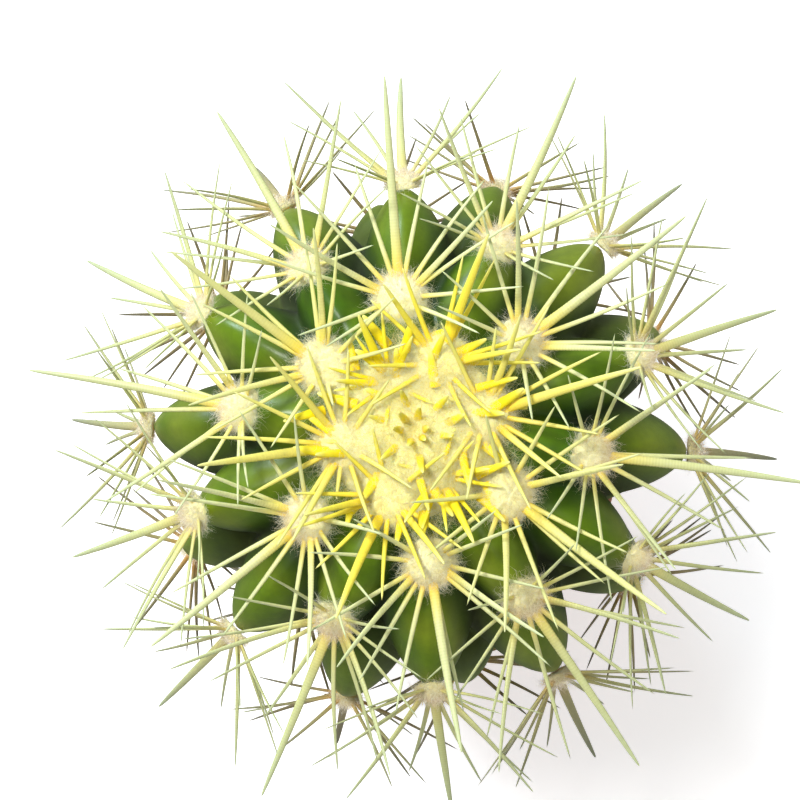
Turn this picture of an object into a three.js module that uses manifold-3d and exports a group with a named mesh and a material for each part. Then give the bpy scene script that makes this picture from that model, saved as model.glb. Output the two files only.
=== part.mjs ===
// A young golden barrel cactus in a small clay pot, in millimetres, +Z up.
// The origin is the middle of the pot's flat base, on the surface that it stands on.
// The globe carries rounded tubercles in opposite pairs, each pair turned from the one before it,
// so that they line up as fourteen ribs. Each tubercle bears an areole: a felt pad and its spines.
import * as THREE from "three";
import { mergeVertices } from "three/addons/utils/BufferGeometryUtils.js";
import Module from "manifold-3d";

const wasm = await Module();
wasm.setup();

const GAP = 0.3; // clearance between pieces that touch
const SHORTEST_EDGE = 0.01; // detail finer than this is left out of joined solids
const DEGREE = Math.PI / 180;

// Pot and soil.
const POT_HEIGHT = 54;
const RIM_RADIUS = 28.5;
const RIM_DEPTH = 13;
const RIM_STEP = 1.9; // how far the rim band stands out from the wall below it
const BASE_RADIUS = 20;
const WALL = 2.9;
const FLOOR = 3.6;
const INNER_DRAFT = 5.6; // how much narrower the hollow is at the floor than at the rim
const DRAIN_RADIUS = 2.4;
const DRAIN_CIRCLE = 11;
const DRAIN_COUNT = 3;
const SOIL_TOP = 48.5;
const POT_SEGMENTS = 48;

// Globe: [degrees from the apex, radius over the tubercles, height of the tubercles].
const BODY_CENTRE = 80;
const BODY_PROFILE = [
  [0, 28, 2],
  [17, 31, 4.5],
  [35, 34, 8],
  [60, 36.6, 10.2],
  [90, 37.3, 10.6],
  [115, 36, 8.8],
  [137, 35.6, 3.5],
  [146, 39.3, 0.8],
  [152, 43, 0],
];
const BODY_BOTTOM = 38; // the flat underside, below the centre
const BODY_AROUND = 98;
const BODY_RINGS = 36;
const NECK_TOP = 24.3; // radius where the globe passes the pot's rim
const NECK_BOTTOM = 20.2; // radius of the flat underside

// Tubercle lattice. Turns and tilts are in degrees. Pairs are numbered from the apex outwards, the
// youngest first, and pair 0 is the one at FIRST_TILT.
const FIRST_TURN = 19.3;
const TURN_STEP = 51;
const FIRST_TILT = 58;
const TILT_STEP = 5.9;
const TILT_GROWTH = 0.1;
const TURN_SHIFT = [0, 2, -4]; // every third pair sits a little aside
const TILT_SHIFT = [0, 0, -4];
const YOUNGEST_PAIR = -9;
const OLDEST_PAIR = 10;
const TUBERCLE_REACH = 34; // radius at which tubercles are measured
const TUBERCLE_CREST = 2.2; // how far a tubercle's crest lies above its areole
const TUBERCLE_RISE = 21; // its length above the crest, along the rib
const TUBERCLE_FALL = 15; // and below the crest
const TUBERCLE_WIDTH = 8.2; // its half width across the rib, level with the areole
const TUBERCLE_TAPER = 0.018; // share of the width lost per millimetre down the rib
const TUBERCLE_RIDGE = 1.6; // 2 is a round section across the rib, less has a sharper crest
const TUBERCLE_SLIMMING = 0.38; // share of the width lost where the ribs run together at the apex
const CREASE = 12; // sharpness of the crease between tubercles

// Felt pads.
const PAD_RADIUS = 4.2;
const PAD_SHRINK = 0.2; // per pair
const PAD_LEAST = 1.9;
const BUD_PAD_RADIUS = 2.4; // the youngest pair, still in the crown
const PAD_HEIGHT_SHARE = 0.55;
const PAD_LEAST_HEIGHT = 1.3;
const PAD_SIDES = 7;

// Spines: [degrees round from straight down the rib, degrees above the skin, length, base width].
const MAIN_SPINE = [0, 36, 28, 1.55];
const CENTRAL_SPINES = [
  [62, 42, 20, 1.15],
  [298, 42, 20, 1.15],
];
const SPINE_INSET = 0.57; // where the spines leave the pad, as a share of its radius
const SPINE_SEAT = 0.3; // and how high they start, as a share of it
const RADIAL_COUNT = 10;
const RADIAL_SPREAD = 280; // degrees that the radials fan over, open towards the apex
const RADIAL_LIFT = 24;
const RADIAL_LENGTH = 17;
const RADIAL_DROOP = 3.5; // how much longer the lower ones are
const RADIAL_WIDTH = 0.8;
const FLATNESS = 0.62; // thickness over width
const TURN_JITTER = 9; // degrees for a radial spine, less for stouter ones
const LIFT_JITTER = 7;
const LENGTH_JITTER = 0.12;
const CLEARANCE = 0.25; // between spines of different areoles
const SPINE_REACH = 53.5; // no spine passes this distance from the axis
const TRIES = 24; // directions tried before a spine is made shorter
const SHORTEN = 0.85; // and how much shorter it gets each time
const SHORTEST_SHARE = 0.3; // a spine that only fits shorter than this is left out

// Crown: felt in the middle of the apex with young spines in two rings.
const CROWN_RADIUS = 4.2;
const CROWN_HEIGHT = 2.6;
const CROWN_SIDES = 14;
const CROWN_SPINES = 12;
const CROWN_SPINE_LENGTH = 6.5;
const CROWN_SPINE_WIDTH = 1.35;
const SEED = 2026;

const CLAY = new THREE.MeshStandardMaterial({ color: 0xb5643c, roughness: 0.85, metalness: 0 });
const EARTH = new THREE.MeshStandardMaterial({ color: 0x33241a, roughness: 1, metalness: 0 });
const SKIN = new THREE.MeshStandardMaterial({ color: 0x3f7a22, roughness: 0.38, metalness: 0 });
const FELT = new THREE.MeshStandardMaterial({ color: 0xf6e79a, roughness: 1, metalness: 0 });
const SPINE = new THREE.MeshStandardMaterial({ color: 0xe9e27c, roughness: 0.5, metalness: 0 });

// A repeatable source of numbers between 0 and 1.
function seededRandom(seed) {
  let state = seed;
  return () => {
    state = (state * 1664525 + 1013904223) % 4294967296;
    return state / 4294967296;
  };
}

// A smooth curve through the rows of a profile, for one of its columns.
function profileAt(rows, column, x) {
  const last = rows.length - 1;
  if (x >= rows[last][0]) return rows[last][column];
  const i = rows.findIndex((row, k) => k < last && x < rows[k + 1][0]);
  const slope = (k) => {
    const low = rows[Math.max(k - 1, 0)];
    const high = rows[Math.min(k + 1, last)];
    return (high[column] - low[column]) / (high[0] - low[0]);
  };
  const span = rows[i + 1][0] - rows[i][0];
  const t = (x - rows[i][0]) / span;
  const rise = rows[i + 1][column] - rows[i][column];
  const from = slope(i) * span;
  const to = slope(i + 1) * span;
  return rows[i][column] + from * t + (3 * rise - 2 * from - to) * t * t + (from + to - 2 * rise) * t * t * t;
}

function direction(turn, tilt) {
  const sideways = Math.sin(tilt * DEGREE);
  return new THREE.Vector3(
    sideways * Math.cos(turn * DEGREE),
    sideways * Math.sin(turn * DEGREE),
    Math.cos(tilt * DEGREE),
  );
}

// One place of the lattice, with the unit vectors that point out, down the rib and around.
function site(pair, side) {
  const phase = ((pair % 3) + 3) % 3;
  const turn = FIRST_TURN - TURN_STEP * pair + TURN_SHIFT[phase] + 180 * side;
  const tilt = FIRST_TILT + TILT_STEP * pair + TILT_GROWTH * pair * pair + TILT_SHIFT[phase];
  return {
    pair,
    turn,
    tilt,
    out: direction(turn, tilt),
    down: direction(turn, tilt + 90),
    around: direction(turn + 90, 90),
    width: TUBERCLE_WIDTH * (1 - TUBERCLE_SLIMMING * (1 - Math.sin(tilt * DEGREE))),
  };
}

function sites(from, to) {
  const all = [];
  for (let pair = from; pair <= to; pair++) all.push(site(pair, 0), site(pair, 1));
  return all;
}

const TUBERCLES = sites(YOUNGEST_PAIR - 1, OLDEST_PAIR + 3);

// Distance from the globe's centre to its skin, along a unit vector.
function skinRadius(toward) {
  const tilt = Math.acos(Math.min(1, Math.max(-1, toward.z))) / DEGREE;
  const corner = BODY_PROFILE[BODY_PROFILE.length - 1][0];
  if (tilt >= corner) return BODY_BOTTOM / -toward.z;
  let sum = 0;
  for (const { out, down, around, width } of TUBERCLES) {
    if (toward.dot(out) <= 0) continue;
    const below = TUBERCLE_REACH * toward.dot(down);
    const fromCrest = below + TUBERCLE_CREST;
    const along = fromCrest / (fromCrest > 0 ? TUBERCLE_FALL : TUBERCLE_RISE);
    const across = (TUBERCLE_REACH * toward.dot(around)) / (width * (1 - TUBERCLE_TAPER * below));
    sum += Math.exp(CREASE * (1 - along * along - Math.abs(across) ** TUBERCLE_RIDGE));
  }
  const crest = Math.log(sum + 1) / CREASE;
  const height = profileAt(BODY_PROFILE, 2, tilt);
  return profileAt(BODY_PROFILE, 1, tilt) + height * (Math.min(crest, 1.05) - 1);
}

function skinPoint(toward) {
  return toward
    .clone()
    .multiplyScalar(skinRadius(toward))
    .add(new THREE.Vector3(0, 0, BODY_CENTRE));
}

// The geometry as a solid that can be joined and cut.
function solid(geometry) {
  geometry.deleteAttribute("normal");
  geometry.deleteAttribute("uv");
  const merged = mergeVertices(geometry, 1e-4);
  const triVerts = new Uint32Array(merged.index.array);
  const vertProperties = new Float32Array(merged.attributes.position.array);
  return new wasm.Manifold(new wasm.Mesh({ numProp: 3, vertProperties, triVerts }));
}

function geometryOf(manifold) {
  const { vertProperties, triVerts } = manifold.simplify(SHORTEST_EDGE).getMesh();
  const geometry = new THREE.BufferGeometry();
  geometry.setAttribute("position", new THREE.BufferAttribute(new Float32Array(vertProperties), 3));
  geometry.setIndex(new THREE.BufferAttribute(new Uint32Array(triVerts), 1));
  geometry.computeVertexNormals();
  return geometry;
}

function mesh(name, geometry, material) {
  const made = new THREE.Mesh(geometry, material.clone());
  made.name = name;
  return made;
}

// A turned solid about +Z: the outline is [radius, height] points from the axis back to the axis.
function turned(outline, segments) {
  const points = outline.map(([radius, height]) => new THREE.Vector2(radius, height));
  return new THREE.LatheGeometry(points, segments).rotateX(Math.PI / 2);
}

function potMesh() {
  const band = POT_HEIGHT - RIM_DEPTH;
  const mouth = RIM_RADIUS - WALL;
  const body = solid(
    turned(
      [
        [0, 0],
        [BASE_RADIUS - 0.8, 0],
        [BASE_RADIUS, 0.8],
        [RIM_RADIUS - RIM_STEP - 0.6, band],
        [RIM_RADIUS - 0.4, band],
        [RIM_RADIUS, band + 0.8],
        [RIM_RADIUS, POT_HEIGHT - 1],
        [RIM_RADIUS - 0.9, POT_HEIGHT],
        [mouth + 0.8, POT_HEIGHT],
        [mouth, POT_HEIGHT - 0.8],
        [mouth - INNER_DRAFT, FLOOR],
        [0, FLOOR],
      ],
      POT_SEGMENTS,
    ),
  );
  let drilled = body;
  for (let i = 0; i < DRAIN_COUNT; i++) {
    const angle = (2 * Math.PI * i) / DRAIN_COUNT;
    const drain = new THREE.CylinderGeometry(DRAIN_RADIUS, DRAIN_RADIUS, 3 * FLOOR, 12)
      .rotateX(Math.PI / 2)
      .translate(DRAIN_CIRCLE * Math.cos(angle), DRAIN_CIRCLE * Math.sin(angle), 0);
    drilled = drilled.subtract(solid(drain));
  }
  return mesh("pot", geometryOf(drilled), CLAY);
}

// The hollow's radius at a height above the pot's floor.
function hollowRadius(height) {
  const mouth = RIM_RADIUS - WALL;
  return mouth - INNER_DRAFT * (1 - (height - FLOOR) / (POT_HEIGHT - 0.8 - FLOOR));
}

// The globe's radius at a height where its neck is a plain cone.
function neckRadius(height) {
  const bottom = BODY_CENTRE - BODY_BOTTOM;
  return NECK_BOTTOM + ((NECK_TOP - NECK_BOTTOM) * (height - bottom)) / (POT_HEIGHT - bottom);
}

function soilMesh() {
  const bed = BODY_CENTRE - BODY_BOTTOM - GAP;
  const foot = FLOOR + GAP;
  const outline = [
    [0, foot],
    [hollowRadius(foot) - 0.4, foot],
    [hollowRadius(SOIL_TOP) - 0.4, SOIL_TOP - 0.4],
    [neckRadius(SOIL_TOP) + 1, SOIL_TOP],
    [neckRadius(SOIL_TOP) + 0.6, SOIL_TOP - 0.5],
    [NECK_BOTTOM + 0.7, bed],
    [0, bed],
  ];
  return mesh("soil", turned(outline, POT_SEGMENTS), EARTH);
}

// The globe is grown in one piece: a grid of skin points between its two poles.
function bodyMesh() {
  const positions = [...skinPoint(direction(0, 0)).toArray()];
  const corner = BODY_PROFILE[BODY_PROFILE.length - 1][0];
  for (let ring = 1; ring <= BODY_RINGS; ring++)
    for (let i = 0; i < BODY_AROUND; i++) {
      const turn = (360 * (i + 0.5 * (ring % 2))) / BODY_AROUND;
      positions.push(...skinPoint(direction(turn, (corner * ring) / BODY_RINGS)).toArray());
    }
  positions.push(0, 0, BODY_CENTRE - BODY_BOTTOM);
  const at = (ring, i) => 1 + (ring - 1) * BODY_AROUND + (i % BODY_AROUND);
  const last = positions.length / 3 - 1;
  const faces = [];
  for (let i = 0; i < BODY_AROUND; i++) {
    faces.push(0, at(1, i), at(1, i + 1));
    faces.push(last, at(BODY_RINGS, i + 1), at(BODY_RINGS, i));
    for (let ring = 1; ring < BODY_RINGS; ring++) {
      const [a, b, c, d] = [at(ring, i), at(ring, i + 1), at(ring + 1, i), at(ring + 1, i + 1)];
      if (ring % 2) faces.push(a, c, d, a, d, b);
      else faces.push(a, c, b, b, c, d);
    }
  }
  const geometry = new THREE.BufferGeometry();
  geometry.setAttribute("position", new THREE.Float32BufferAttribute(positions, 3));
  geometry.setIndex(faces);
  geometry.computeVertexNormals();
  return mesh("cactus_body", geometry, SKIN);
}

function padRadius(pair) {
  if (pair === YOUNGEST_PAIR) return BUD_PAD_RADIUS;
  return Math.max(PAD_LEAST, PAD_RADIUS - PAD_SHRINK * (pair - YOUNGEST_PAIR - 1));
}

// How far the spines of a pair have grown, as a share of full length.
function growth(pair) {
  const age = pair - YOUNGEST_PAIR;
  const young = 1 - 0.62 * Math.exp(-age / 2.4);
  return young * (1 - 0.018 * Math.max(0, pair - 3));
}

// The lowest seat for a pad's flat base that clears the skin all round by the gap.
function seat(here, normal, down, around, radius) {
  const centre = new THREE.Vector3(0, 0, BODY_CENTRE);
  let rise = 0;
  for (let i = 0; i < 24; i++) {
    const angle = (i * Math.PI) / 6;
    const share = i < 12 ? 1 : 0.6;
    const rim = here
      .clone()
      .addScaledVector(down, share * radius * Math.cos(angle))
      .addScaledVector(around, share * radius * Math.sin(angle));
    const skin = skinPoint(rim.sub(centre).normalize());
    rise = Math.max(rise, skin.sub(here).dot(normal));
  }
  return here.clone().addScaledVector(normal, rise + GAP);
}

// An areole's own axes on the skin, with its pad's middle.
function areoleFrame({ pair, turn, tilt }) {
  const step = 1.5;
  const here = skinPoint(direction(turn, tilt));
  const below = skinPoint(direction(turn, tilt + step)).sub(skinPoint(direction(turn, tilt - step)));
  const beside = skinPoint(direction(turn + step, tilt)).sub(skinPoint(direction(turn - step, tilt)));
  const normal = below.clone().cross(beside).normalize();
  const down = below.normalize();
  const around = normal.clone().cross(down);
  const radius = padRadius(pair);
  return { pair, origin: seat(here, normal, down, around, radius), normal, down, around, radius };
}

// The spines that an areole should bear, before they are fitted between their neighbours.
function wantedSpines() {
  const wanted = [MAIN_SPINE, ...CENTRAL_SPINES];
  for (let i = 0; i < RADIAL_COUNT; i++) {
    const turn = RADIAL_SPREAD * (i / (RADIAL_COUNT - 1) - 0.5);
    const length = RADIAL_LENGTH + RADIAL_DROOP * Math.cos(turn * DEGREE);
    wanted.push([turn, RADIAL_LIFT, length, RADIAL_WIDTH]);
  }
  return wanted;
}

// The nearest distance between two spines, less their half widths there.
function spineGap(a, b) {
  const between = a.start.clone().sub(b.start);
  const [aa, bb, ab] = [a.reach.dot(a.reach), b.reach.dot(b.reach), a.reach.dot(b.reach)];
  const [ac, bc] = [a.reach.dot(between), b.reach.dot(between)];
  const clamp = (x) => Math.min(1, Math.max(0, x));
  let s = clamp((ab * bc - ac * bb) / Math.max(aa * bb - ab * ab, 1e-9));
  const t = clamp((ab * s + bc) / bb);
  s = clamp((ab * t - ac) / aa);
  const apart = between.addScaledVector(a.reach, s).addScaledVector(b.reach, -t).length();
  return apart - 0.5 * (a.width * (1 - s) + b.width * (1 - t));
}

// The nearest distance from a spine to a pad's middle, less its half width there.
function padGap(spine, centre) {
  const toward = centre.clone().sub(spine.start);
  const s = Math.min(1, Math.max(0, toward.dot(spine.reach) / spine.reach.dot(spine.reach)));
  return toward.addScaledVector(spine.reach, -s).length() - 0.5 * spine.width * (1 - s);
}

// True where the spine keeps clear of the skin, the pot and the widest reach.
function clearOfPlant(spine) {
  for (const s of [0.3, 0.45, 0.6, 0.8, 1]) {
    const point = spine.start.clone().addScaledVector(spine.reach, s);
    const across = Math.hypot(point.x, point.y);
    if (across > SPINE_REACH) return false;
    if (point.z < POT_HEIGHT + 1.5 && across < RIM_RADIUS + 1) return false;
    point.z -= BODY_CENTRE;
    const distance = point.length();
    if (distance < skinRadius(point.divideScalar(distance)) + 0.5 * spine.width * (1 - s) + 0.5) return false;
  }
  return true;
}

// A spine as a straight taper from the pad, with its direction varied by the random source.
function grownSpine(frame, [turn, lift, length, width], share, random) {
  const stray = RADIAL_WIDTH / width;
  const round = (turn + stray * TURN_JITTER * (2 * random() - 1)) * DEGREE;
  const rise = (lift + stray * LIFT_JITTER * (2 * random() - 1)) * DEGREE;
  const size = growth(frame.pair) * (1 + LENGTH_JITTER * (2 * random() - 1)) * share;
  const flat = frame.down
    .clone()
    .multiplyScalar(Math.cos(round))
    .addScaledVector(frame.around, Math.sin(round));
  const axis = flat.clone().multiplyScalar(Math.cos(rise)).addScaledVector(frame.normal, Math.sin(rise));
  const start = frame.origin
    .clone()
    .addScaledVector(flat, SPINE_INSET * frame.radius)
    .addScaledVector(frame.normal, SPINE_SEAT * frame.radius);
  return { frame, start, reach: axis.multiplyScalar(length * size), width };
}

// One of the young spines of the crown, which lean outwards in an inner and an outer ring.
function crownSpine(crown, index, share, random) {
  const outer = index % 2;
  const turn = (360 * (index + 0.6 * random())) / CROWN_SPINES;
  const lean = outer ? 24 + 12 * random() : 8 + 10 * random();
  const start = crown.origin
    .clone()
    .addScaledVector(direction(turn, 90), (outer ? 0.66 : 0.3) * crown.radius)
    .addScaledVector(crown.normal, 0.4);
  const reach = direction(turn, lean).multiplyScalar(CROWN_SPINE_LENGTH * (0.8 + 0.4 * random()) * share);
  return { frame: crown, start, reach, width: CROWN_SPINE_WIDTH };
}

// The crown and every areole with their spines, each spine fitted between those already grown.
function grownPlant() {
  const random = seededRandom(SEED);
  const [down, around, normal] = [direction(0, 90), direction(90, 90), direction(0, 0)];
  const origin = seat(skinPoint(normal), normal, down, around, CROWN_RADIUS);
  const crown = { origin, normal, down, around, radius: CROWN_RADIUS, spines: [] };
  const areoles = sites(YOUNGEST_PAIR, OLDEST_PAIR).map((place) => ({ ...areoleFrame(place), spines: [] }));
  const homes = [crown, ...areoles];
  const grown = [];
  const fits = (spine) =>
    clearOfPlant(spine) &&
    homes.every((other) => other === spine.frame || padGap(spine, other.origin) > other.radius + CLEARANCE) &&
    grown.every((other) => other.frame === spine.frame || spineGap(spine, other) > CLEARANCE);
  const fit = (home, candidate) => {
    let share = 1;
    for (let attempt = 1; share > SHORTEST_SHARE; attempt++) {
      const spine = candidate(share);
      if (fits(spine)) {
        grown.push(spine);
        home.spines.push(spine);
        return;
      }
      if (attempt % TRIES === 0) share *= SHORTEN;
    }
  };
  for (let i = 0; i < CROWN_SPINES; i++) fit(crown, (share) => crownSpine(crown, i, share, random));
  for (const kind of wantedSpines())
    for (const areole of areoles) fit(areole, (share) => grownSpine(areole, kind, share, random));
  return { crown, areoles };
}

// A spine as a taper of a few flat sides, wide across and thin along the given normal.
function spineSolid({ start, reach, width }, normal, sides) {
  const length = reach.length();
  const axis = reach.clone().normalize();
  const wide = axis.clone().cross(normal).normalize();
  const thin = wide.clone().cross(axis);
  const cone = new THREE.ConeGeometry(0.5, length, sides, 1).translate(0, length / 2, 0);
  cone.scale(width, 1, width * FLATNESS);
  cone.applyMatrix4(new THREE.Matrix4().makeBasis(wide, axis, thin).setPosition(start));
  return solid(cone);
}

function padSolid({ origin, normal, down, around, radius }, height, segments) {
  const dome = turned(
    [
      [0, 0],
      [radius * 0.9, 0],
      [radius, height * 0.35],
      [radius * 0.62, height * 0.86],
      [0, height],
    ],
    segments,
  );
  dome.applyMatrix4(new THREE.Matrix4().makeBasis(down, around, normal).setPosition(origin));
  return solid(dome);
}

function areoleMesh(areole, index) {
  const height = Math.max(PAD_LEAST_HEIGHT, areole.radius * PAD_HEIGHT_SHARE);
  let joined = padSolid(areole, height, PAD_SIDES);
  for (const spine of areole.spines) {
    const sides = spine.width > RADIAL_WIDTH ? 4 : 3;
    joined = joined.add(spineSolid(spine, areole.normal, sides));
  }
  const name = "areole_" + String(index + 1).padStart(2, "0");
  return mesh(name, geometryOf(joined), SPINE);
}

function crownMesh(crown) {
  let joined = padSolid(crown, CROWN_HEIGHT, CROWN_SIDES);
  for (const spine of crown.spines) joined = joined.add(spineSolid(spine, spine.start.clone().setZ(0), 4));
  return mesh("crown", geometryOf(joined), FELT);
}

const { crown, areoles } = grownPlant();
const cactus = new THREE.Group();
cactus.add(potMesh(), soilMesh(), bodyMesh(), crownMesh(crown), ...areoles.map(areoleMesh));

export default cactus;
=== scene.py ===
"""A young golden barrel cactus in a small clay pot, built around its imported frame.

The plant is laid out by the same rules as the frame's solids: pairs of tubercles, each bearing a pad
of wool and a star of spines. Lengths are in millimetres until a mesh is made; angles are in degrees.
"""

import math

import bpy
import numpy as np
from mathutils import Matrix, Vector


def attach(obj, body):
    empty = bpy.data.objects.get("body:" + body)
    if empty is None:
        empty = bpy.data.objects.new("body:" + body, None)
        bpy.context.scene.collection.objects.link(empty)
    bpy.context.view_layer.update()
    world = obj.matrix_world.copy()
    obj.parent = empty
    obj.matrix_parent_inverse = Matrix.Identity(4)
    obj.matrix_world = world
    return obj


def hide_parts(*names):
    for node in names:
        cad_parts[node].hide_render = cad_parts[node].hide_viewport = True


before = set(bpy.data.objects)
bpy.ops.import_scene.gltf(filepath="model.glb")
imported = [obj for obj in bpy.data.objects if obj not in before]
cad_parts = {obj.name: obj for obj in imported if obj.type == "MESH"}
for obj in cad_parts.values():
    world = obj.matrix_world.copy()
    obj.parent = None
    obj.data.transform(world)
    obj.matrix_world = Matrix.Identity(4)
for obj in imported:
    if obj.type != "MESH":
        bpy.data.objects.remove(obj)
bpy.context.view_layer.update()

MM = 0.001
SEED = 2026

# Pot and soil.
POT_HEIGHT = 54
RIM_RADIUS = 28.5
RIM_DEPTH = 13
RIM_STEP = 1.9  # the wall below the rim band lies this far in
RIM_UNDERCUT = 0.6  # and this much further
BASE_RADIUS = 20
WALL = 2.9
FLOOR = 3.6
INNER_DRAFT = 5.6  # how much narrower the hollow is at its floor
DRAIN_RADIUS = 2.4
DRAIN_CIRCLE = 11
DRAIN_COUNT = 3
POT_EDGE = 1.0  # how far its rounded edges reach to each side
POT_SEGMENTS = 160
SHARP_EDGE = 50  # degrees
SOIL_TOP = 48.5
SOIL_SEGMENTS = 240
SOIL_ROUGHNESS = 0.35
CRUMBS = 420
CRUMB_RING = (22.9, 24.4)
CRUMB_SIZES = (0.5, 1.3)

# Globe: degrees from the apex, radius over the tubercles, height of the tubercles.
BODY_CENTRE = np.array([0, 0, 80.0])
BODY_PROFILE = np.array(
    [
        [0, 28, 2],
        [17, 31, 4.5],
        [35, 34, 8],
        [60, 36.6, 10.2],
        [90, 37.3, 10.6],
        [115, 36, 8.8],
        [137, 35.6, 3.5],
        [146, 39.3, 0.8],
        [152, 43, 0],
    ]
)
BODY_BOTTOM = 38  # the flat underside, below the centre
NECK_TOP = 24.3  # radius where the globe passes the pot's rim
NECK_BOTTOM = 20.2  # radius of the flat underside
SKIN_SIDES = 448
SKIN_RINGS = 208
AGEING_TOP = 102  # the skin turns olive and corky below this height
AGEING_DEPTH = 38  # and is all so this far below it

# Tubercle lattice. Pairs are numbered from the apex outwards, and pair 0 is the one at FIRST_TILT.
FIRST_TURN = 19.3
TURN_STEP = 51
FIRST_TILT = 58
TILT_STEP = 5.9
TILT_GROWTH = 0.1
TURN_SHIFT = [0, 2, -4]  # every third pair sits a little aside
TILT_SHIFT = [0, 0, -4]
YOUNGEST_PAIR = -9
OLDEST_PAIR = 10
TUBERCLE_REACH = 34  # radius at which tubercles are measured
TUBERCLE_CREST = 2.2  # how far a tubercle's crest lies above its areole
TUBERCLE_RISE = 21  # its length above the crest, along the rib
TUBERCLE_FALL = 15  # and below the crest
TUBERCLE_WIDTH = 8.2  # its half width across the rib, level with the areole
TUBERCLE_TAPER = 0.018  # share of the width lost per millimetre downwards
TUBERCLE_RIDGE = 1.6  # 2 is a round section, less has a sharper crest
TUBERCLE_SLIMMING = 0.38  # share of the width lost at the apex
CREASE = 12  # sharpness of the crease between tubercles

# Felt pads.
GAP = 0.3  # between pieces that touch
PAD_RADIUS = 4.2
PAD_SHRINK = 0.2  # per pair
PAD_LEAST = 1.9
BUD_PAD_RADIUS = 2.4  # the youngest pair, still in the crown
PAD_HAIRS = 2300
PAD_HAIRS_LOST = 1100  # by the oldest pads
PAD_HAIR_RADIUS = 0.03
PAD_HAIR_CURL = 0.8  # how far a tip swings aside, as a share of the length
PAD_LUMPS = 0.08
PAD_HEIGHT = 0.8  # as a share of the radius
YOUNG_PAD_HEIGHT = 0.6
GROWN_PAD_PAIR = -6  # the first pair with full pads
PAD_CORE_RINGS = 10
PAD_CORE_SIDES = 28
STRAY_HAIRS = 0.3  # share of the hairs that are longer than the rest
STRAY_LENGTH = 2.1  # and how many times longer

# Spines: degrees round from straight down the rib, degrees above the skin, length, base width.
MAIN_SPINE = (0, 36, 28, 1.55)
CENTRAL_SPINES = [(62, 42, 20, 1.15), (298, 42, 20, 1.15)]
SPINE_INSET = 0.57  # where the spines leave the pad, as a share of its radius
SPINE_SEAT = 0.3  # and how high they start, as a share of it
RADIAL_COUNT = 10
RADIAL_SPREAD = 280  # degrees, open towards the apex
RADIAL_LIFT = 24
RADIAL_LENGTH = 17
RADIAL_DROOP = 3.5  # how much longer the lower ones are
RADIAL_WIDTH = 0.8
BUD_SHORTNESS = 0.62  # what the youngest spines lack of full length
GROWING_PAIRS = 2.4  # pairs in which that falls to a third
OLD_PAIR = 3  # spines after this pair are shorter again
OLD_SHORTNESS = 0.018  # by this share for each pair
FLATNESS = 0.62  # thickness over width
TURN_JITTER = 9  # degrees for a radial spine, less for stouter ones
LIFT_JITTER = 7
LENGTH_JITTER = 0.12
CLEARANCE = 0.25  # between spines of different areoles
SPINE_REACH = 53.5  # the furthest from the axis that a spine may reach
ABOVE_RIM = 1.5  # how far the spines keep from the pot's rim
BESIDE_RIM = 1
TRIES = 24  # directions tried before a spine is made shorter
SHORTEN = 0.85  # and how much shorter it gets each time
SHORTEST_SHARE = 0.3  # a spine that only fits shorter than this is left out
RIDGE_PITCH = 0.42
RIDGE_DEPTH = 0.05  # share of the width
RINGS_PER_RIDGE = 4
STOUT_SIDES = 8
SLIM_SIDES = 6
SLIM_RINGS = 18
SPINE_BOW = 0.02  # bend in its thickness, as a share of its length
SPINE_SWAY = 0.012  # and in its width
SPINE_FULLNESS = 0.46  # half width at the base, over the CAD spine's width
SPINE_TAPER = 0.42  # 1 is a straight taper, less stays wide further out
SPINE_TIP = 0.015

# Crown: felt in the middle of the apex with young spines in two rings, and buds all over it.
CROWN_RADIUS = 4.2
CROWN_SPINES = 12
CROWN_SPINE_LENGTH = 6.5
CROWN_SPINE_WIDTH = 1.35
CROWN_BUDS = 34
BUD_TURN = 137.5  # from each bud to the next
BUD_TILTS = (6, 22)
BUD_HEIGHTS = (1.8, 2.6)  # of their feet above the skin
BUD_LENGTHS = (3.6, 6)
BUD_WIDTHS = (1.3, 1.8)
CROWN_FELT_TILT = 22
CROWN_FELT_THICK = 3.1
CROWN_FELT_SIDES = 96
CROWN_FELT_RINGS = 26
CROWN_LUMPS = 70
CROWN_LUMP_SPREAD = 0.0016  # in the cosine of the angle
CROWN_HAIRS = 8700
CROWN_HAIR_LENGTHS = (1.2, 3.4)
CROWN_HAIR_RADIUS = 0.032
CROWN_HAIR_CURL = 1.1

# Hairs: how far along each ring of a hair lies.
HAIR_SHARES = np.array([0, 0.3, 0.58, 0.82, 1.0])
HAIR_SIDES = 3
HAIR_POINTS = (len(HAIR_SHARES) - 1) * HAIR_SIDES + 1

# Camera and light, in metres and watts.
CAMERA_AZIMUTH = 30
CAMERA_ELEVATION = 86
CAMERA_DISTANCE = 0.45
CAMERA_TARGET = (-0.0029, 0.0057, 0.08)
VIEW_WIDTH = 0.112
SENSOR_WIDTH = 36
WORLD_LIGHT = 0.14
LIGHTS = [
    # name, place, size, power, colour
    ("key", (-0.95, 0.85, 2.9), 0.9, 100, (1, 1, 1)),
    ("top", (0.3, 0.1, 3.2), 2.4, 20, (1, 1, 1)),
    ("window", (-1.2, 1.8, 0.5), 0.6, 34, (0.72, 0.88, 1.0)),
]
LIT_POINT = (0, 0, 0.08)


# -------------------- layout of the plant


def seeded_random(seed):
    """A repeatable source of numbers between 0 and 1, the same one as the frame's."""
    state = seed

    def draw():
        nonlocal state
        state = (state * 1664525 + 1013904223) % 4294967296
        return state / 4294967296

    return draw


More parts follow.
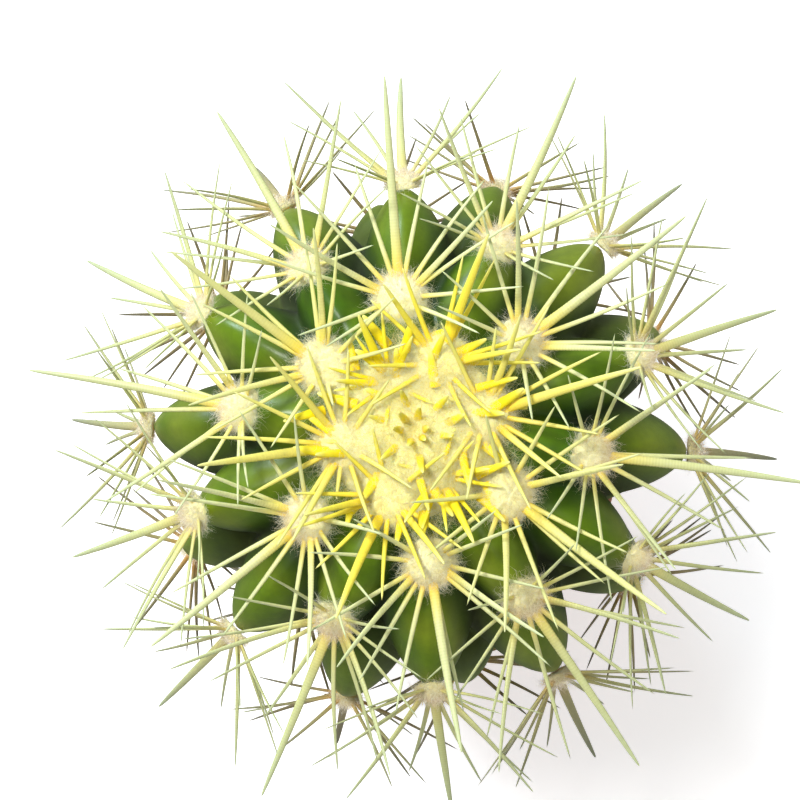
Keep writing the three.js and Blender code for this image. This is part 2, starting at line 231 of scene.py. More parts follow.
def profile_at(column, x):
    """A smooth curve through the rows of the globe's profile, for one of its columns."""
    knots, values = BODY_PROFILE[:, 0], BODY_PROFILE[:, column]
    last = len(knots) - 1
    low, high = np.maximum(np.arange(last + 1) - 1, 0), np.minimum(np.arange(last + 1) + 1, last)
    slopes = (values[high] - values[low]) / (knots[high] - knots[low])
    i = np.clip(np.searchsorted(knots, x, side="right") - 1, 0, last - 1)
    span = knots[i + 1] - knots[i]
    t = np.clip((x - knots[i]) / span, 0, 1)
    rise = values[i + 1] - values[i]
    start, end = slopes[i] * span, slopes[i + 1] * span
    square, cube = 3 * rise - 2 * start - end, start + end - 2 * rise
    return values[i] + start * t + square * t**2 + cube * t**3


def direction(turn, tilt):
    turn, tilt = np.broadcast_arrays(np.radians(turn), np.radians(tilt))
    return np.stack([np.sin(tilt) * np.cos(turn), np.sin(tilt) * np.sin(turn), np.cos(tilt)], axis=-1)


def sites(first, last):
    """(pair, turn, tilt) of each tubercle from one pair of the lattice to another."""
    places = []
    for pair in range(first, last + 1):
        turn = FIRST_TURN - TURN_STEP * pair + TURN_SHIFT[pair % 3]
        tilt = FIRST_TILT + TILT_STEP * pair + TILT_GROWTH * pair * pair + TILT_SHIFT[pair % 3]
        places += [(pair, turn, tilt), (pair, turn + 180, tilt)]
    return places


TUBERCLES = np.array(sites(YOUNGEST_PAIR - 1, OLDEST_PAIR + 3))
TUBERCLE_OUT = direction(TUBERCLES[:, 1], TUBERCLES[:, 2])
TUBERCLE_DOWN = direction(TUBERCLES[:, 1], TUBERCLES[:, 2] + 90)
TUBERCLE_AROUND = direction(TUBERCLES[:, 1] + 90, 90)
TUBERCLE_HALF = TUBERCLE_WIDTH * (1 - TUBERCLE_SLIMMING * (1 - np.sin(np.radians(TUBERCLES[:, 2]))))


def crest_and_radius(toward):
    """How high on a tubercle each unit vector meets the skin, 0 to 1, and how far from the centre."""
    tilt = np.degrees(np.arccos(np.clip(toward[:, 2], -1, 1)))
    below = TUBERCLE_REACH * toward @ TUBERCLE_DOWN.T
    from_crest = below + TUBERCLE_CREST
    along = from_crest / np.where(from_crest > 0, TUBERCLE_FALL, TUBERCLE_RISE)
    half = TUBERCLE_HALF * (1 - TUBERCLE_TAPER * below)
    across = TUBERCLE_REACH * toward @ TUBERCLE_AROUND.T / half
    heights = np.exp(CREASE * (1 - along**2 - np.abs(across) ** TUBERCLE_RIDGE))
    heights[toward @ TUBERCLE_OUT.T <= 0] = 0
    crest = np.minimum(np.log(heights.sum(axis=1) + 1) / CREASE, 1.05)
    radius = profile_at(1, tilt) + profile_at(2, tilt) * (crest - 1)
    flat = tilt >= BODY_PROFILE[-1, 0]
    radius[flat] = -BODY_BOTTOM / toward[flat, 2]
    return crest, radius


def skin_point(toward):
    toward = np.atleast_2d(toward)
    return BODY_CENTRE + toward * crest_and_radius(toward)[1][:, None]


def unit(vectors):
    return vectors / np.linalg.norm(vectors, axis=-1, keepdims=True)


def seat(here, normal, down, around, radius):
    """The lowest seat for a pad's flat base that clears the skin all round by the gap."""
    tested = np.arange(24)
    angles = tested * math.pi / 6
    share = np.where(tested < 12, 1, 0.6) * radius
    base = here + np.outer(share * np.cos(angles), down) + np.outer(share * np.sin(angles), around)
    rises = (skin_point(unit(base - BODY_CENTRE)) - here) @ normal
    return here + normal * (max(0, rises.max()) + GAP)


def pad_radius(pair):
    if pair == YOUNGEST_PAIR:
        return BUD_PAD_RADIUS
    return max(PAD_LEAST, PAD_RADIUS - PAD_SHRINK * (pair - YOUNGEST_PAIR - 1))


def growth(pair):
    """How far the spines of a pair have grown, as a share of full length."""
    young = 1 - BUD_SHORTNESS * math.exp(-(pair - YOUNGEST_PAIR) / GROWING_PAIRS)
    return young * (1 - OLD_SHORTNESS * max(0, pair - OLD_PAIR))


class Home:
    """A place that bears spines: an areole, or the crown."""

    def __init__(self, pair, normal, down, around, here, radius):
        self.pair = pair
        self.normal, self.down, self.around = normal, down, around
        self.axes = np.stack([down, around, normal])
        self.radius = radius
        self.origin = seat(here, normal, down, around, radius)
        self.spines = []


class Spine:
    def __init__(self, home, start, reach, width):
        self.home, self.start, self.reach, self.width = home, start, reach, width


def areole(pair, turn, tilt):
    step = 1.5
    here = skin_point(direction(turn, tilt))[0]
    below = skin_point(direction([turn, turn], [tilt + step, tilt - step]))
    beside = skin_point(direction([turn + step, turn - step], [tilt, tilt]))
    normal = unit(np.cross(below[0] - below[1], beside[0] - beside[1]))
    down = unit(below[0] - below[1])
    return Home(pair, normal, down, np.cross(normal, down), here, pad_radius(pair))


def wanted_spines():
    wanted = [MAIN_SPINE, *CENTRAL_SPINES]
    for i in range(RADIAL_COUNT):
        turn = RADIAL_SPREAD * (i / (RADIAL_COUNT - 1) - 0.5)
        length = RADIAL_LENGTH + RADIAL_DROOP * math.cos(math.radians(turn))
        wanted.append((turn, RADIAL_LIFT, length, RADIAL_WIDTH))
    return wanted


def spine_gaps(spine, starts, reaches, widths):
    """The nearest distances from a spine to others, less their half widths there."""
    between = spine.start - starts
    aa, bb = spine.reach @ spine.reach, np.sum(reaches**2, axis=1)
    ab, ac = reaches @ spine.reach, between @ spine.reach
    bc = np.sum(reaches * between, axis=1)
    s = np.clip((ab * bc - ac * bb) / np.maximum(aa * bb - ab * ab, 1e-9), 0, 1)
    t = np.clip((ab * s + bc) / bb, 0, 1)
    s = np.clip((ab * t - ac) / aa, 0, 1)
    apart = np.linalg.norm(between + np.outer(s, spine.reach) - reaches * t[:, None], axis=1)
    return apart - 0.5 * (spine.width * (1 - s) + widths * (1 - t))


def pad_gaps(spine, centres):
    """The nearest distances from a spine to pads' middles, less its half width there."""
    toward = centres - spine.start
    s = np.clip(toward @ spine.reach / (spine.reach @ spine.reach), 0, 1)
    return np.linalg.norm(toward - np.outer(s, spine.reach), axis=1) - 0.5 * spine.width * (1 - s)


def clear_of_plant(spine):
    """True where the spine keeps clear of the skin, the pot and the widest reach."""
    s = np.array([0.3, 0.45, 0.6, 0.8, 1])
    points = spine.start + np.outer(s, spine.reach)
    across = np.hypot(points[:, 0], points[:, 1])
    if across.max() > SPINE_REACH:
        return False
    if np.any((points[:, 2] < POT_HEIGHT + ABOVE_RIM) & (across < RIM_RADIUS + BESIDE_RIM)):
        return False
    arms = points - BODY_CENTRE
    distance = np.linalg.norm(arms, axis=1)
    least = crest_and_radius(arms / distance[:, None])[1] + 0.5 * spine.width * (1 - s) + 0.5
    return bool(np.all(distance >= least))


def grown_spine(home, kind, share, draw):
    """A spine as a straight taper from the pad, with its direction varied by the random source."""
    turn, lift, length, width = kind
    stray = RADIAL_WIDTH / width
    round_by = math.radians(turn + stray * TURN_JITTER * (2 * draw() - 1))
    rise = math.radians(lift + stray * LIFT_JITTER * (2 * draw() - 1))
    size = growth(home.pair) * (1 + LENGTH_JITTER * (2 * draw() - 1)) * share
    flat = home.down * math.cos(round_by) + home.around * math.sin(round_by)
    axis = flat * math.cos(rise) + home.normal * math.sin(rise)
    start = home.origin + flat * SPINE_INSET * home.radius + home.normal * SPINE_SEAT * home.radius
    return Spine(home, start, axis * length * size, width)


def crown_spine(crown, index, share, draw):
    """A young spine of the crown's inner or outer ring, leaning outwards."""
    outer = index % 2
    turn = 360 * (index + 0.6 * draw()) / CROWN_SPINES
    lean = 24 + 12 * draw() if outer else 8 + 10 * draw()
    inset = (0.66 if outer else 0.3) * crown.radius
    start = crown.origin + direction(turn, 90) * inset + crown.normal * 0.4
    reach = direction(turn, lean) * CROWN_SPINE_LENGTH * (0.8 + 0.4 * draw()) * share
    return Spine(crown, start, reach, CROWN_SPINE_WIDTH)


def grown_plant():
    """The crown and every areole with their spines, each spine fitted between those already grown."""
    draw = seeded_random(SEED)
    up, down, around = direction(0, 0), direction(0, 90), direction(90, 90)
    crown = Home(YOUNGEST_PAIR, up, down, around, skin_point(up)[0], CROWN_RADIUS)
    homes = [crown] + [areole(*place) for place in sites(YOUNGEST_PAIR, OLDEST_PAIR)]
    centres = np.array([home.origin for home in homes])
    radii = np.array([home.radius for home in homes])
    grown = []

    def fits(spine):
        if not clear_of_plant(spine):
            return False
        others = np.array([home is not spine.home for home in homes])
        if np.any(pad_gaps(spine, centres[others]) <= radii[others] + CLEARANCE):
            return False
        near = [other for other in grown if other.home is not spine.home]
        if not near:
            return True
        starts = np.array([other.start for other in near])
        reaches = np.array([other.reach for other in near])
        widths = np.array([other.width for other in near])
        return bool(np.all(spine_gaps(spine, starts, reaches, widths) > CLEARANCE))

    def fit(home, candidate):
        share, attempt = 1.0, 1
        while share > SHORTEST_SHARE:
            spine = candidate(share)
            if fits(spine):
                grown.append(spine)
                home.spines.append(spine)
                return
            if attempt % TRIES == 0:
                share *= SHORTEN
            attempt += 1

    for index in range(CROWN_SPINES):
        fit(crown, lambda share: crown_spine(crown, index, share, draw))
    for kind in wanted_spines():
        for home in homes[1:]:
            fit(home, lambda share: grown_spine(home, kind, share, draw))
    return crown, homes[1:]


# -------------------- meshes


def new_piece(name, points, faces, uvs, values, material):
    """A mesh object. Points are in millimetres, faces and their corners' uvs are lists of arrays, and
    values are attributes of the points."""
    mesh = bpy.data.meshes.new(name)
    mesh.vertices.add(len(points))
    mesh.vertices.foreach_set("co", (points * MM).astype(np.float32).ravel())
    corners = np.concatenate([f.ravel() for f in faces])
    counts = np.concatenate([np.full(len(f), f.shape[1]) for f in faces])
    mesh.loops.add(len(corners))
    mesh.loops.foreach_set("vertex_index", corners.astype(np.int32))
    mesh.polygons.add(len(counts))
    mesh.polygons.foreach_set("loop_start", (np.cumsum(counts) - counts).astype(np.int32))
    mesh.update(calc_edges=True)
    layer = mesh.uv_layers.new(name="OFBake")
    flat_uvs = np.concatenate([u.reshape(-1, 2) for u in uvs]).astype(np.float32)
    layer.data.foreach_set("uv", flat_uvs.ravel())
    for key, value in values.items():
        attribute = mesh.attributes.new(key, "FLOAT", "POINT")
        attribute.data.foreach_set("value", np.asarray(value, np.float32).ravel())
    mesh.shade_smooth()
    mesh.materials.append(material)
    piece = bpy.data.objects.new(name, mesh)
    bpy.context.scene.collection.objects.link(piece)
    return piece


def ring_grid(rings, around):
    """For each quad of a grid of rings: its upper ring, its side, and the next side round."""
    ring, side = np.meshgrid(np.arange(rings - 1), np.arange(around), indexing="ij")
    ring, side = ring.ravel(), side.ravel()
    return ring, side, (side + 1) % around


def dome_faces(rings, around):
    """The quads, top fan and foot fan of a closed dome. Its points are its top, its rings from the
    top down, and the middle of its foot."""
    ring, side, beside = ring_grid(rings, around)
    low, high = 1 + ring * around, 1 + (ring + 1) * around
    quads = np.stack([low + side, high + side, high + beside, low + beside], 1)
    one = np.arange(around)
    two = (one + 1) % around
    top = np.stack([np.zeros_like(one), 1 + one, 1 + two], 1)
    last = 1 + (rings - 1) * around
    foot = np.stack([last + two, last + one, np.full_like(one, last + around)], 1)
    return quads, top, foot


def fan_uv(around, across, point_row, edge_row):
    """The map of a fan of triangles. Across is where each corner lies over its side: 0.5 is the
    fan's point."""
    place = (np.arange(around)[:, None] + across) / around
    row = np.where(np.array(across) == 0.5, point_row, edge_row)
    return np.stack([place, np.tile(row, (around, 1))], 2)


def dome_directions(tilts, around):
    """Unit vectors over a dome: straight up, then all round it at each tilt."""
    turns = 360 * np.arange(around) / around
    grid_tilt, grid_turn = np.meshgrid(tilts, turns, indexing="ij")
    return np.concatenate([direction(0, 0)[None], direction(grid_turn, grid_tilt).reshape(-1, 3)])


def tubes(centres, wide, thin, sides):
    """Closed tapered tubes. centres, wide and thin are (tube, ring, 3): the middle and the half axes
    of each ring. The last ring is drawn together into a point. Returns points, faces and uvs."""
    count, rings = centres.shape[:2]
    angles = 2 * np.pi * np.arange(sides) / sides
    spread = wide[:, :-1, None] * np.cos(angles)[:, None]
    spread = spread + thin[:, :-1, None] * np.sin(angles)[:, None]
    walls = (centres[:, :-1, None] + spread).reshape(count, -1, 3)
    points = np.concatenate([walls, centres[:, -1:]], axis=1)
    first = (np.arange(count) * points.shape[1])[:, None]
    ring, side, beside = ring_grid(rings - 1, sides)
    low, high = ring * sides, (ring + 1) * sides
    quad = np.stack([low + side, low + beside, high + beside, high + side], 1)
    quads = (first[:, :, None] + quad[None]).reshape(-1, 4)
    last = (rings - 2) * sides
    around, tip = np.arange(sides), np.full(sides, points.shape[1] - 1)
    triangle = np.stack([last + around, last + (around + 1) % sides, tip], 1)
    tips = (first[:, :, None] + triangle[None]).reshape(-1, 3)
    bases = first + around[::-1][None]
    # Each tube has its own cell of the map, with its length up the cell.
    columns = math.ceil(math.sqrt(count * 2))
    rows = math.ceil(count / columns)
    cell = np.stack([np.arange(count) % columns, np.arange(count) // columns], 1)[:, None, None]
    step = np.array([[0, 0], [1, 0], [1, 1], [0, 1]])
    local = np.stack([side, ring], 1)[:, None] + step[None]
    quad_uv = local / [sides, rings - 1]
    tip_local = np.stack([np.stack([around, around + 1, around + 0.5], 1) / sides] * 2, 2)
    tip_local[:, :, 1] = np.array([rings - 2, rings - 2, rings - 1]) / (rings - 1)
    base_local = np.stack([0.5 + 0.1 * np.cos(angles[::-1]), 0.05 + 0.02 * np.sin(angles)], 1)[None]
    margin = 0.06
    uvs = [
        (cell + margin + (1 - 2 * margin) * part[None]) / [columns, rows]
        for part in (quad_uv, tip_local, base_local)
    ]
    return points.reshape(-1, 3), [quads, tips, bases], uvs


def perpendiculars(axes, near):
    """Two unit vectors square to each axis and to each other, the first square to near as well."""
    wide = unit(np.cross(axes, near))
    return wide, np.cross(wide, axes)


# -------------------- materials


class Shader:
    """A material's node tree, built up node by node."""

    def __init__(self, name, **settings):
        self.material = bpy.data.materials.new(name)
        self.material.use_nodes = True
        self.tree = self.material.node_tree
        self.surface = self.tree.nodes["Principled BSDF"]
        for socket, value in settings.items():
            self.surface.inputs[socket.replace("_", " ")].default_value = value

    def add(self, kind, inputs, output=0, **settings):
        """One of a new node's outputs. Inputs are sockets, which are linked, or plain values."""
        node = self.tree.nodes.new(kind)
        for key, value in settings.items():
            setattr(node, key, value)
        for key, value in inputs.items():
            if isinstance(value, bpy.types.NodeSocket):
                self.tree.links.new(value, node.inputs[key])
            else:
                node.inputs[key].default_value = value
        return node.outputs[output]

    def value(self, attribute):
        return self.add("ShaderNodeAttribute", {}, 2, attribute_name=attribute)

    def noise(self, scale, detail=3, roughness=0.5, stretch=None):
        """Noise over the piece. The scale is the number of cells per millimetre."""
        where = self.add("ShaderNodeTexCoord", {}, 3)
        if stretch:
            where = self.add("ShaderNodeMapping", {"Vector": where, "Scale": stretch})
        sizes = {"Vector": where, "Scale": scale / MM, "Detail": detail, "Roughness": roughness}
        return self.add("ShaderNodeTexNoise", sizes)

    def ramp(self, factor, stops):
        """Colours or greys along a factor: stops are (place, colour)."""
        made = self.add("ShaderNodeValToRGB", {"Fac": factor})
        elements = made.node.color_ramp.elements
        while len(elements) < len(stops):
            elements.new(1)
        for element, (place, colour) in zip(elements, stops):
            element.position = place
            element.color = (*colour, 1) if isinstance(colour, tuple) else (colour, colour, colour, 1)
        return made

    def mix(self, factor, a, b, blend="MIX"):
        """Two colours mixed. Each is a socket or (red, green, blue)."""
        a, b = ((*colour, 1) if isinstance(colour, tuple) else colour for colour in (a, b))
        inputs = {0: factor, 6: a, 7: b}
        return self.add("ShaderNodeMix", inputs, 2, data_type="RGBA", blend_type=blend)

    def maths(self, operation, a, b):
        return self.add("ShaderNodeMath", {0: a, 1: b}, operation=operation)

    def finish(self, colour, roughness, height, bump_mm, strength=1.0):
        """Links the colour, the roughness and a bump of the given depth in millimetres."""
        link = self.tree.links.new
        link(colour, self.surface.inputs["Base Color"])
        link(roughness, self.surface.inputs["Roughness"])
        sizes = {"Height": height, "Distance": bump_mm * MM, "Strength": strength}
        link(self.add("ShaderNodeBump", sizes), self.surface.inputs["Normal"])
        return self.material


def skin_material():
    """Glossy green ribs with painted shade in the creases, going olive and then corky towards the
    soil.
    """
    shader = Shader("skin", Coat_Weight=0.03, Coat_Roughness=0.14, Specular_IOR_Level=0.5)
    crest, low = shader.value("crest"), shader.value("low")
    green = shader.ramp(
        shader.noise(0.07, 2),
        [(0.32, (0.06, 0.15, 0.002)), (0.5, (0.12, 0.21, 0.004)), (0.66, (0.2, 0.27, 0.014))],
    )
    olive = shader.mix(shader.maths("MULTIPLY", low, 0.7), green, (0.25, 0.29, 0.04))
    mottle = shader.ramp(shader.noise(0.9, 4, 0.65), [(0.35, 0.72), (0.65, 1.0)])
    mottled = shader.mix(0.5, olive, mottle, "MULTIPLY")
    # Painted shade: the colour darkens to near black down in the creases between the tubercles, less
    # so low on the globe.
    painted_crease_shade = shader.ramp(
        crest,
        [(0.24, (0.01, 0.018, 0.002)), (0.52, (0.22, 0.3, 0.1)), (0.78, (1.0, 1.0, 1.0))],
    )
    depth = shader.maths("SUBTRACT", 1.0, shader.maths("MULTIPLY", low, 0.65))
    shaded = shader.mix(depth, mottled, painted_crease_shade, "MULTIPLY")
    scars = shader.maths("MULTIPLY", shader.noise(0.16, 5, 0.7), low)
    cork = shader.ramp(scars, [(0.56, 0.0), (0.64, 0.8)])
    colour = shader.mix(cork, shaded, (0.2, 0.1, 0.03))
    roughness = shader.ramp(crest, [(0.3, 0.95), (0.58, 0.37)])
    return shader.finish(colour, roughness, shader.noise(3.2, 3, 0.6), 0.05, 0.5)


def spine_material():
    """Spines from golden yellow when young to pale green and then grey-brown when old."""
    shader = Shader("spines", Specular_IOR_Level=0.3, Subsurface_Weight=0.12)
    shader.surface.inputs["Subsurface Radius"].default_value = (0.6, 0.5, 0.15)
    shader.surface.inputs["Subsurface Scale"].default_value = 0.6 * MM
    along, age, tint = shader.value("along"), shader.value("age"), shader.value("tint")
    young_stops = [
        (0.0, (1.0, 0.74, 0.012)),
        (0.4, (1.0, 0.83, 0.015)),
        (0.75, (1.0, 0.87, 0.06)),
        (1.0, (0.97, 0.9, 0.28)),
    ]
    grown_stops = [
        (0.0, (0.95, 0.62, 0.02)),
        (0.13, (0.82, 0.74, 0.2)),
        (0.28, (0.72, 0.73, 0.34)),
        (1.0, (0.58, 0.65, 0.36)),
    ]
    aged_stops = [(0.0, (0.72, 0.6, 0.2)), (0.3, (0.6, 0.62, 0.28)), (1.0, (0.42, 0.48, 0.28))]
    old_stops = [(0.0, (0.55, 0.24, 0.04)), (0.25, (0.36, 0.28, 0.13)), (1.0, (0.15, 0.15, 0.11))]
    to_grown = shader.ramp(age, [(0.02, 0.0), (0.2, 1.0)])
    to_aged = shader.ramp(age, [(0.25, 0.0), (0.5, 1.0)])
    browning = shader.maths("ADD", age, shader.maths("MULTIPLY", tint, 0.12))
    to_old = shader.ramp(browning, [(0.66, 0.0), (0.9, 1.0)])
    grown = shader.mix(to_grown, shader.ramp(along, young_stops), shader.ramp(along, grown_stops))
    aged = shader.mix(to_aged, grown, shader.ramp(along, aged_stops))
    colour = shader.mix(to_old, aged, shader.ramp(along, old_stops))
    fleck = shader.ramp(shader.noise(1.6, 4, 0.7), [(0.3, 0.78), (0.6, 1.0)])
    flecked = shader.mix(shader.maths("MULTIPLY", tint, 0.7), colour, fleck, "MULTIPLY")
    # Painted shade: the grooves between the ridges of the stout spines are darkened.
    between = shader.maths("MULTIPLY", shader.value("groove"), 0.16)
    ridged = shader.mix(between, flecked, (0.5, 0.52, 0.2), "MULTIPLY")
    roughness = shader.ramp(tint, [(0.0, 0.38), (1.0, 0.55)])
    return shader.finish(ridged, roughness, shader.noise(2.4, 2), 0.04, 0.4)


def wool_material():
    """Wool that is yellow in the crown, cream on the pads, and tan with age and on the pads' lower
    side, partly weathering and partly painted shade.
    """
    shader = Shader("wool", Specular_IOR_Level=0.1, Subsurface_Weight=0.7, Subsurface_Scale=1.6 * MM)
    shader.surface.inputs["Subsurface Radius"].default_value = (0.6, 0.5, 0.3)
    age, outer, tint = shader.value("age"), shader.value("outer"), shader.value("tint")
    tints = [
        [(0.84, 0.68, 0.16), (1.0, 0.9, 0.32), (1.0, 0.98, 0.6)],
        [(0.8, 0.7, 0.28), (0.96, 0.89, 0.48), (1.0, 0.98, 0.76)],
        [(0.6, 0.38, 0.17), (0.82, 0.6, 0.32), (0.96, 0.8, 0.5)],
    ]
    yellow, pale, tan = (shader.ramp(tint, list(zip((0.0, 0.5, 1.0), shades))) for shades in tints)
    cream = shader.mix(shader.ramp(age, [(0.0, 0.0), (0.2, 1.0)]), yellow, pale)
    # Painted shade, partly real weathering as well: each pad turns tan on its lower, down-rib side,
    # and more so with age.
    lower_side_tan_strength = shader.maths("ADD", shader.maths("MULTIPLY", age, 1.2), 0.15)
    weathering_and_shade = shader.maths("MULTIPLY", outer, lower_side_tan_strength)
    browning = shader.maths("ADD", weathering_and_shade, shader.maths("MULTIPLY", age, 0.6))
    colour = shader.mix(shader.ramp(browning, [(0.3, 0.0), (0.95, 1.0)]), cream, tan)
    clumps = shader.ramp(shader.noise(1.3, 3), [(0.3, 0.88), (0.6, 1.0)])
    clumped = shader.mix(0.6, colour, clumps, "MULTIPLY")
    roughness = shader.ramp(tint, [(0, 0.8), (1, 0.95)])
    return shader.finish(clumped, roughness, shader.noise(4, 3), 0.12)


def clay_material():
    """Fired clay with grain, turning lines and a faint pale bloom."""
    shader = Shader("clay", Specular_IOR_Level=0.3)
    body = shader.ramp(
        shader.noise(0.06, 4, 0.6),
        [(0.3, (0.42, 0.13, 0.055)), (0.55, (0.52, 0.19, 0.085)), (0.75, (0.6, 0.27, 0.14))],
    )
    bloom = shader.ramp(shader.noise(0.12, 5, 0.7, (1, 1, 0.6)), [(0.52, 0.0), (0.75, 0.3)])
    bloomed = shader.mix(bloom, body, (0.72, 0.6, 0.5))
    grit = shader.ramp(shader.noise(2.2, 3, 0.6), [(0.3, 0.8), (0.7, 1.0)])
    turned = shader.noise(0.7, 2, 0.5, (0.05, 0.05, 1.6))
    height = shader.maths("ADD", shader.noise(1.8, 5, 0.65), turned)
    roughness = shader.ramp(bloom, [(0.0, 0.78), (1.0, 0.95)])
    return shader.finish(shader.mix(0.8, bloomed, grit, "MULTIPLY"), roughness, height, 0.12, 0.6)


def soil_material():
    """Dark potting mix, in which a few crumbs are pale grit."""
    shader = Shader("soil", Specular_IOR_Level=0.2)
    colour = shader.ramp(
        shader.noise(0.9, 5, 0.7),
        [(0.3, (0.02, 0.012, 0.008)), (0.5, (0.06, 0.038, 0.022)), (0.72, (0.15, 0.095, 0.055))],
    )
    tint = shader.ramp(shader.value("tint"), [(0.0, 0.6), (0.85, 1.2), (0.93, 4.0)])
    tinted = shader.mix(1.0, colour, tint, "MULTIPLY")
    roughness = shader.ramp(colour, [(0, 0.85), (0.2, 1.0)])
    return shader.finish(tinted, roughness, shader.noise(3, 4), 0.2)


def floor_material():
    shader = Shader("floor", Specular_IOR_Level=0.2, Emission_Strength=0.55)
    shader.surface.inputs["Emission Color"].default_value = (1, 1, 1, 1)
    colour = shader.ramp(shader.noise(0.004, 2), [(0.3, (0.86, 0.86, 0.86)), (0.7, (0.9, 0.9, 0.9))])
    roughness = shader.ramp(colour, [(0, 0.7), (1, 0.9)])
    return shader.finish(colour, roughness, shader.noise(0.5, 2), 0.02, 0.1)


# -------------------- plant pieces


def body_piece(material):
    """The globe, as a fine grid of skin points from the apex to the flat underside."""
    around, rings = SKIN_SIDES, SKIN_RINGS
    toward = dome_directions(BODY_PROFILE[-1, 0] * np.arange(1, rings + 1) / rings, around)
    crest, radius = crest_and_radius(toward)
    points = BODY_CENTRE + toward * radius[:, None]
    points = np.concatenate([points, [BODY_CENTRE - [0, 0, BODY_BOTTOM]]])
    ring, side, _ = ring_grid(rings, around)
    step = np.array([[0, 0], [0, 1], [1, 1], [1, 0]])
    quad_uv = (np.stack([side, ring + 1], 1)[:, None] + step) / [around, rings + 1]
    top_uv = fan_uv(around, [0.5, 0, 1], 0, 1 / (rings + 1))
    foot_uv = fan_uv(around, [1, 0, 0.5], 1, rings / (rings + 1))
    uvs = [quad_uv, top_uv, foot_uv]
    low = np.clip((AGEING_TOP - points[:, 2]) / AGEING_DEPTH, 0, 1)
    values = {"crest": np.append(crest, 0), "low": low}
    return new_piece("cactus_skin", points, dome_faces(rings, around), uvs, values, material)


def spine_tubes(spines, age, rng, rings):
    """The centre lines and half axes of a set of spines, a little bowed and ridged across.
    Returns them with how far along and how deep between two ridges each ring lies."""
    s = np.linspace(0, 1, rings)
    starts = np.array([spine.start for spine in spines])
    reaches = np.array([spine.reach for spine in spines])
    widths = np.array([spine.width for spine in spines])[:, None]
    lengths = np.linalg.norm(reaches, axis=1)[:, None]
    axes = reaches / lengths
    near = np.array([spine.home.normal for spine in spines])
    wide, thin = perpendiculars(axes, near + 0.02 * rng.standard_normal(near.shape))
    bow = SPINE_BOW * lengths * rng.uniform(-1, 1, (len(spines), 1))
    sway = SPINE_SWAY * lengths * rng.uniform(-1, 1, (len(spines), 1))
    centres = starts[:, None] + reaches[:, None] * s[None, :, None]
    centres += (thin * bow + wide * sway)[:, None] * np.sin(np.pi * s)[None, :, None]
    # The ridges end before the tip, and the youngest spines hardly have any.
    groove = 0.5 - 0.5 * np.cos(2 * np.pi * lengths * s / RIDGE_PITCH)
    groove = groove * (widths > RADIAL_WIDTH) * (1 - s**4) * min(1, 0.25 + 3 * age)
    half = SPINE_FULLNESS * widths * (1 - s) ** SPINE_TAPER * (1 - RIDGE_DEPTH * groove) + SPINE_TIP
    half = half[..., None]
    return centres, wide[:, None] * half, thin[:, None] * half * FLATNESS, s, groove


def joined(parts):
    """Several lots of points, faces and uvs as one, side by side in the map."""
    points, faces, uvs, first = [], [], [], 0
    for index, (some, their_faces, their_uvs) in enumerate(parts):
        points.append(some)
        faces += [f + first for f in their_faces]
        uvs += [(u + [0, index]) / [1, len(parts)] for u in their_uvs]
        first += len(some)
    return np.concatenate(points), faces, uvs


def spines_piece(name, spines, age, rng, material):
    """A set of spines as one mesh: the stout ones finely ridged, the slim ones plain."""
    parts, values = [], {"along": [], "tint": [], "groove": []}
    for sides in (STOUT_SIDES, SLIM_SIDES):
        stout = sides == STOUT_SIDES
        group = [spine for spine in spines if (spine.width > RADIAL_WIDTH) == stout]
        if not group:
            continue
        longest = max(np.linalg.norm(spine.reach) for spine in group)
        rings = math.ceil(longest / RIDGE_PITCH * RINGS_PER_RIDGE) if stout else SLIM_RINGS
        *shape, share, groove = spine_tubes(group, age, rng, rings)
        parts.append(tubes(*shape, sides))
        per_spine = np.append(np.repeat(share[:-1], sides), 1)
        values["along"].append(np.tile(per_spine, len(group)))
        values["tint"].append(np.repeat(rng.uniform(0, 1, len(group)), len(per_spine)))
        walls = np.repeat(groove[:, :-1], sides, axis=1)
        values["groove"].append(np.concatenate([walls, np.zeros((len(group), 1))], axis=1).ravel())
    points, faces, uvs = joined(parts)
    values = {key: np.concatenate(value) for key, value in values.items()}
    values["age"] = np.full(len(points), age)
    return new_piece(name, points, faces, uvs, values, material)


def fibres(roots, axes, lengths, radius, curl, rng):
    """The centre lines and half axes of fine curling hairs that grow from roots along axes."""
    shares = HAIR_SHARES
    near = unit(rng.standard_normal(axes.shape))
    side, other = perpendiculars(axes, near)
    phase = rng.uniform(0, 2 * np.pi, len(roots))[:, None]
    sway = curl * shares**2
    wave = 0.3 * curl * np.sin(2 * np.pi * shares * 1.3 + phase) * shares
    path = axes[:, None] * shares[None, :, None] * (1 - 0.35 * curl * shares[None, :, None] ** 2)
    path = path + side[:, None] * sway[None, :, None] + other[:, None] * wave[..., None]
    centres = roots[:, None] + path * lengths[:, None, None]
    half = radius * (1 - 0.6 * shares)[None, :, None]
    return centres, side[:, None] * half, other[:, None] * half


def lets_light_through(piece):
    """Fine wool is translucent, so it casts no shade on itself."""
    piece.visible_shadow = False
    return piece


def wool_core(home, height, rng):
    """The lumpy dome inside a felt pad: its points, faces and uvs."""
    radius = home.radius
    rings, around = PAD_CORE_RINGS, PAD_CORE_SIDES
    fall = (np.linspace(0, 1, rings + 1)[1:] * np.pi / 2)[:, None]
    angle = 2 * np.pi * np.arange(around) / around
    lump = 1 + PAD_LUMPS * rng.standard_normal((rings, around))
    across = 0.92 * radius * np.sin(fall) * lump
    walls = [across * np.cos(angle), across * np.sin(angle), height * np.cos(fall) * lump]
    dome = np.concatenate([[[0, 0, height]], np.stack(walls, 2).reshape(-1, 3), [[0, 0, -0.2]]])
    quads, top, foot = dome_faces(rings, around)
    flat_uv = 0.5 + 0.45 * dome[:, :2] / (1.4 * radius)
    points = dome @ home.axes + home.origin
    return points, [quads, top, foot], [flat_uv[quads], flat_uv[top], flat_uv[foot] * 0.1]


